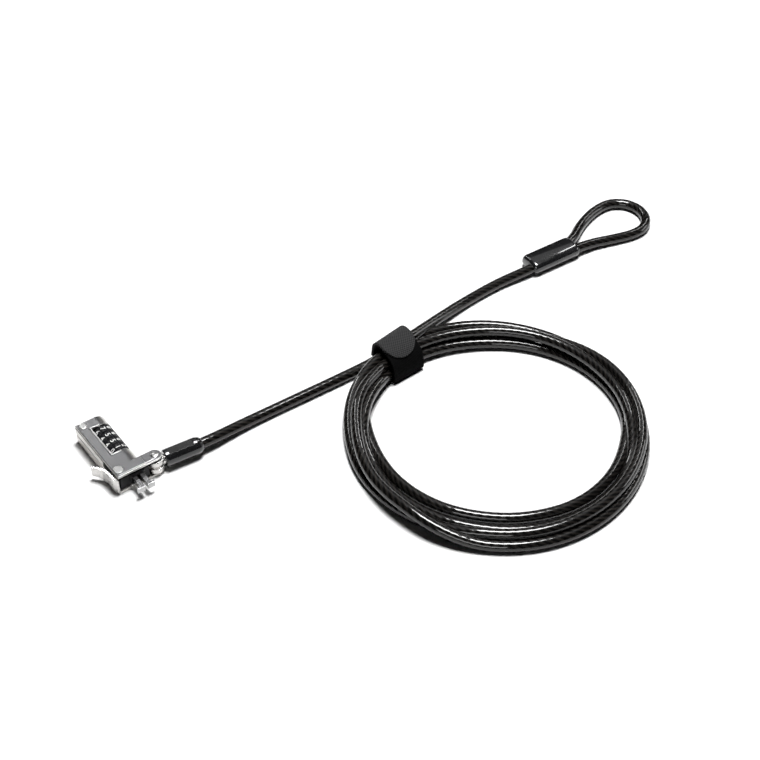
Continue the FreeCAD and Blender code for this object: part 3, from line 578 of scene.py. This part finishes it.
def make_strap():
    """The band round the bundle, and its free end with a round tip on top."""
    half = STRAP_WIDTH / 2
    inset = TAPE_THICK / 2
    near = STRAP_NEAR + inset
    far = STRAP_FAR - inset
    top = STRAP_TOP - inset
    wrap = rounded_path([(0.0, inset), (near, inset), (near - 0.2, 5.0), (near + 1.2, top - 2.0),
                         (near + 5.0, top + 0.4), (0.0, top + 1.3), (far - 5.0, top + 1.2),
                         (far - 1.2, top - 1.2), (far, 6.0), (far, inset), (1.0, inset)])
    band = tape("strap_wrap", wrap, lambda s, length: half, BAND_TAPE)
    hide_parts("strap_band")
    over = rounded_path([(far + 1.15, 3.4), (far + 0.2, top - 1.0), (far - 4.2, top + 2.5),
                         (0.0, top + 2.6), (near + 5.2, top + 1.7), (near + 1.8, top - 0.6)])

    def rounded_end(s, length):
        left = length - s
        if left >= half:
            return half
        return max(TIP_HALF_WIDTH, math.sqrt(max(0.0, half ** 2 - (half - left) ** 2)))

    # The tab's lighter colour is a painted sheen.
    tab = tape("strap_end", over, rounded_end, TAB_TAPE_PAINTED_SHEEN)
    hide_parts("strap_tab")
    return [band, tab]


# ------------------------------------------------------------------ loop sleeve
SLEEVE_CENTRE = (249.5, 12.6)
SLEEVE_TURN = -2.0
SLEEVE_HALF = 14.0
BARREL_RADIUS = 3.6
BARREL_PITCH = 5.2
BARREL_Z = 3.7
SLEEVE_SIDES = 72
# How steeply the outline steps from one barrel to the other.
WAIST = 1.6
# The domed ends: how far each section is inside the sleeve's end, and its share of the full radius.
OPEN_END = ((0, 0.55), (0.15, 0.70), (0.6, 0.86), (1.4, 0.96), (2.4, 1.0))
CLOSED_END = ((2.0, 1.0), (1.1, 0.97), (0.4, 0.88), (0.1, 0.78), (0, 0.66))


def make_sleeve():
    """Two moulded barrels grown together, with domed ends."""
    built = bmesh.new()
    profile = []
    for side in range(SLEEVE_SIDES):
        angle = 2 * math.pi * side / SLEEVE_SIDES
        offset = math.copysign(BARREL_PITCH / 2, math.cos(angle)) * min(1.0, abs(math.cos(angle)) * WAIST)
        profile.append((offset + BARREL_RADIUS * math.cos(angle), BARREL_RADIUS * math.sin(angle)))
    sections = [(inside - SLEEVE_HALF, share) for inside, share in OPEN_END]
    sections += [(SLEEVE_HALF - inside, share) for inside, share in CLOSED_END]
    turn = math.radians(SLEEVE_TURN)
    rings = []
    for along, share in sections:
        ring = []
        for across, up in profile:
            shrink = BARREL_RADIUS * (1 - share)
            across = across - math.copysign(min(abs(across), shrink), across)
            x = SLEEVE_CENTRE[0] + along * math.cos(turn) - across * math.sin(turn)
            y = SLEEVE_CENTRE[1] + along * math.sin(turn) + across * math.cos(turn)
            ring.append(built.verts.new(at(x, y, BARREL_Z + up * share)))
        rings.append(ring)
    for low, high in zip(rings, rings[1:]):
        for side in range(SLEEVE_SIDES):
            beside = (side + 1) % SLEEVE_SIDES
            built.faces.new((low[side], low[beside], high[beside], high[side]))
    built.faces.new(rings[0])
    built.faces.new(rings[-1])
    bmesh.ops.recalc_face_normals(built, faces=built.faces)
    sleeve = new_object("loop_sleeve_cover", built)
    sleeve.data.materials.append(GRIP)
    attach(sleeve, "cable")
    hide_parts("loop_sleeve")
    return sleeve


# ------------------------------------------------------------------ numbers on the wheels
WHEEL_AXIS = (9.2, 5.0)
WHEEL_RADIUS = 4.85
FIRST_WHEEL = 16.4
WHEEL_PITCH = 4.5
NUMBER_HEIGHT = 2.3
NUMBER_BOLD = 0.012
NUMBER_BANDS = 10
DIGITS = 10
INK_RISE = 0.03
SHOWN = (1, 5, 5, 7)  # the number on top of each wheel


def number_mesh(text):
    """A flat numeral centred on the origin, of the wanted height, cut into narrow bands."""
    data = bpy.data.curves.new("numeral", "FONT")
    data.body = text
    data.align_x = "CENTER"
    data.offset = NUMBER_BOLD
    holder = bpy.data.objects.new("numeral", data)
    bpy.context.collection.objects.link(holder)
    flat = bpy.data.meshes.new_from_object(holder)
    built = bmesh.new()
    built.from_mesh(flat)
    bpy.data.objects.remove(holder)
    bpy.data.curves.remove(data)
    bpy.data.meshes.remove(flat)
    low = Vector((min(v.co.x for v in built.verts), min(v.co.y for v in built.verts), 0))
    high = Vector((max(v.co.x for v in built.verts), max(v.co.y for v in built.verts), 0))
    scale = NUMBER_HEIGHT / (high.y - low.y)
    for vertex in built.verts:
        vertex.co = (vertex.co - (low + high) / 2) * scale
    for band in range(1, NUMBER_BANDS):
        height = NUMBER_HEIGHT * (band / NUMBER_BANDS - 0.5)
        bmesh.ops.bisect_plane(built, geom=[*built.verts, *built.edges, *built.faces],
                               plane_co=(0, height, 0), plane_no=(0, 1, 0))
    return built


def make_numbers(index):
    """The ten numerals round one wheel. Their tops point the way the numbers rise."""
    middle = FIRST_WHEEL + WHEEL_PITCH * index
    joined = bmesh.new()
    reach = WHEEL_RADIUS + INK_RISE
    for step in range(DIGITS):
        numeral = number_mesh(str((SHOWN[index] + step) % DIGITS))
        for vertex in numeral.verts:
            angle = 2 * math.pi * step / DIGITS + vertex.co.y / WHEEL_RADIUS
            vertex.co = at(WHEEL_AXIS[0] + reach * math.sin(angle), middle - vertex.co.x,
                           WHEEL_AXIS[1] + reach * math.cos(angle))
        scratch = bpy.data.meshes.new("scratch")
        numeral.to_mesh(scratch)
        numeral.free()
        joined.from_mesh(scratch)
        bpy.data.meshes.remove(scratch)
    piece = new_object("wheel_%d_numbers" % (index + 1), joined)
    piece.data.materials.append(INK)
    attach(piece, "wheel_%d" % (index + 1))


def make_spring(node, fixed_y):
    """A CAD spring as a piece of its own in steel, held by the housing, with its CAD node hidden."""
    low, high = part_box(node)
    anchor = (Vector(low) + Vector(high)) / 2
    anchor.y = fixed_y
    spring = bpy.data.objects.new(node + "_coil", nodes[node].data.copy())
    spring.data.materials.clear()
    spring.data.materials.append(STEEL)
    bpy.context.collection.objects.link(spring)
    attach(spring, "housing")
    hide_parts(node)
    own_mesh(spring)


# ------------------------------------------------------------------ build
finish_nodes()
make_spring("return_spring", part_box("return_spring")[0][1])
make_spring("reset_spring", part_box("reset_spring")[1][1])
strap_pieces = make_strap()
sleeve = make_sleeve()
make_cable()
for wheel_index in range(WHEELS):
    make_numbers(wheel_index)

# ------------------------------------------------------------------ studio
# Places and sizes here are in metres. VIEW is the way the camera looks, on the floor, and SIDE its right.
low, high = cad_box
centre = (Vector(low) + Vector(high)) / 2
VIEW = Vector((0.5842, 0.8116, 0))
SIDE = Vector((0.8116, -0.5842, 0))
KEY_FORWARD = 0.2
FLOOR_RADIUS = 0.62
FLOOR_SIDES = 128
FLOOR_DROP = 0.00005
FLOOR_WHITE = (0.93, 0.93, 0.93, 1)


def make_floor():
    """A round pale floor under the key light; the world's white goes on where it ends."""
    foot = centre + VIEW * KEY_FORWARD
    bpy.ops.mesh.primitive_circle_add(vertices=FLOOR_SIDES, radius=FLOOR_RADIUS, fill_type="NGON",
                                      location=(foot.x, foot.y, low[2] - FLOOR_DROP))
    floor = bpy.context.object
    floor.name = "studio_floor"
    n = Nodes("floor_white")
    n.set(Base_Color=FLOOR_WHITE, Roughness=0.9)
    n.shader.inputs["Specular IOR Level"].default_value = 0.0
    floor.data.materials.append(n.material)


def softbox(name, forward, sideways, height, size, watts, lit=False):
    """An area light aimed at the object's middle; lit is whether it lights matt surfaces too."""
    light = bpy.data.lights.new(name, "AREA")
    light.shape = "RECTANGLE"
    light.size, light.size_y = size
    light.energy = watts
    lamp = bpy.data.objects.new(name, light)
    lamp.location = centre + VIEW * forward + SIDE * sideways + Vector((0, 0, height))
    lamp.rotation_euler = (centre - lamp.location).to_track_quat("-Z", "Y").to_euler()
    lamp.visible_diffuse = lit
    bpy.context.collection.objects.link(lamp)


make_floor()
softbox("key", KEY_FORWARD, 0.05, 1.15, (0.4, 0.4), 21, lit=True)
softbox("front", -0.9, -0.2, 0.45, (0.6, 0.3), 3.0)
softbox("side", 0.25, 0.9, 0.35, (0.5, 0.25), 2.0)
softbox("back", 0.87, 0.0, 0.95, (0.9, 0.5), 0.7)
softbox("left_strip", 0.85, -0.5, 0.8, (0.05, 0.5), 1.9)
softbox("right_strip", 0.85, 0.5, 0.8, (0.05, 0.5), 1.9)

# The world is a white backdrop that only the camera sees.
world = bpy.data.worlds.new("studio")
bpy.context.scene.world = world
world.use_nodes = True
backdrop = world.node_tree.nodes["Background"]
backdrop.inputs["Color"].default_value = (1, 1, 1, 1)
backdrop.inputs["Strength"].default_value = 1.0
world.cycles_visibility.diffuse = False
world.cycles_visibility.glossy = False
bpy.context.scene.view_settings.view_transform = "Standard"
